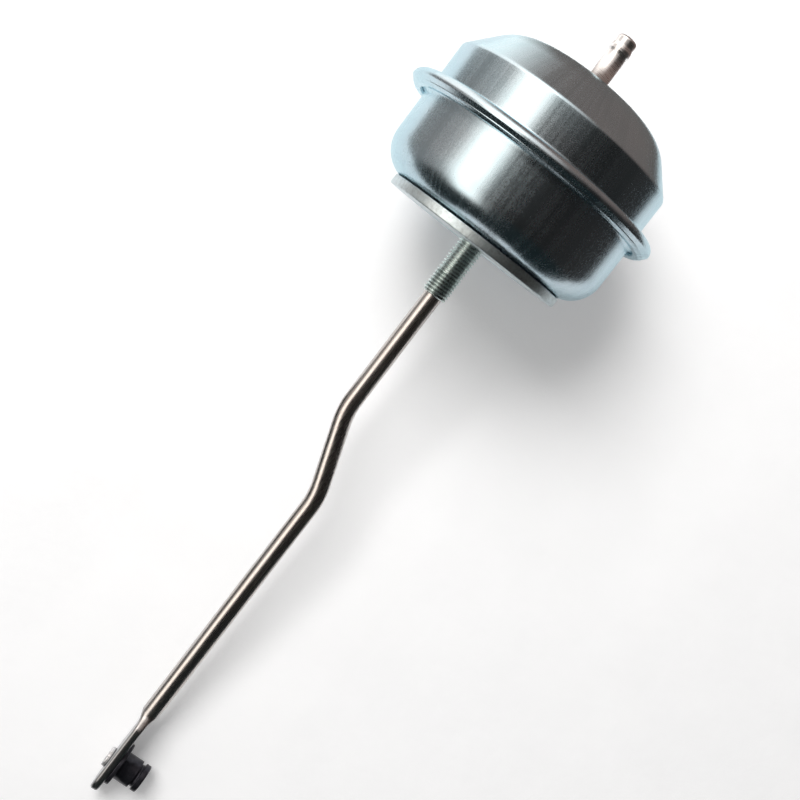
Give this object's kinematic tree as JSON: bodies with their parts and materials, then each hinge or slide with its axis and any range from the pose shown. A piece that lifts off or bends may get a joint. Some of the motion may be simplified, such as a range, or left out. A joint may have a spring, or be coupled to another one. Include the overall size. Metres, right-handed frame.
{
  "type": "turbocharger diaphragm actuator",
  "caption": "Round diaphragm actuator can with a rolled seam, threaded mounting neck, hose nipple and an S-bent push rod that ends in a riveted lever pin.",
  "frame": {"origin": "centre of the mounting plate's underside, where the threaded neck leaves it", "axes": "+Z along the can's axis to the hose nipple, +X the way the lever pin points, the rod's S-bend lies in the XZ plane"},
  "size_m": [0.0806, 0.0806, 0.2638],
  "materials": {
    "zinc_can": "bright blue-passivated zinc plate on pressed steel",
    "zinc_plate": "bright zinc plate, fine grained",
    "zinc_neck": "bright zinc plate on a cut thread",
    "nipple_steel": "bright plated steel tube",
    "braze": "dull brazing metal",
    "inner_steel": "plain pressed steel",
    "spring_steel": "oiled spring wire",
    "rod_steel": "drawn steel, satin along its length",
    "black_steel": "black oxide on turned steel",
    "bronze": "sintered bronze",
    "nylon": "natural nylon",
    "felt": "dense felt",
    "diaphragm_rubber": "fabric-backed rubber",
    "bumper_rubber": "solid rubber"
  },
  "bodies": {
    "housing": {"mounting_plate": "zinc_plate", "threaded_neck": "zinc_neck", "dust_wiper": "felt", "guide_bush": "bronze", "travel_stop_sleeve": "nylon", "lower_shell": "zinc_can", "upper_shell": "zinc_can", "hose_nipple": "nipple_steel", "nipple_braze": "braze", "diaphragm": "diaphragm_rubber", "lower_spring_seat": "inner_steel", "return_spring": "spring_steel"},
    "rod_group": {"actuator_rod": "rod_steel", "pivot_pin": "black_steel", "piston_cup": "inner_steel", "backing_washer": "inner_steel", "retainer_plate": "inner_steel", "rivet_washer": "inner_steel", "top_bumper": "bumper_rubber", "upper_spring_seat": "inner_steel"}
  },
  "joints": [
    {"name": "rod_slide", "type": "slide", "parent": "housing", "child": "rod_group", "axis": [0, 0, -1], "range_m": [0, 0.012], "stiffness_N_per_m": 3300, "springref_m": -0.02, "deforming": ["return_spring", "diaphragm"]}
  ]
}
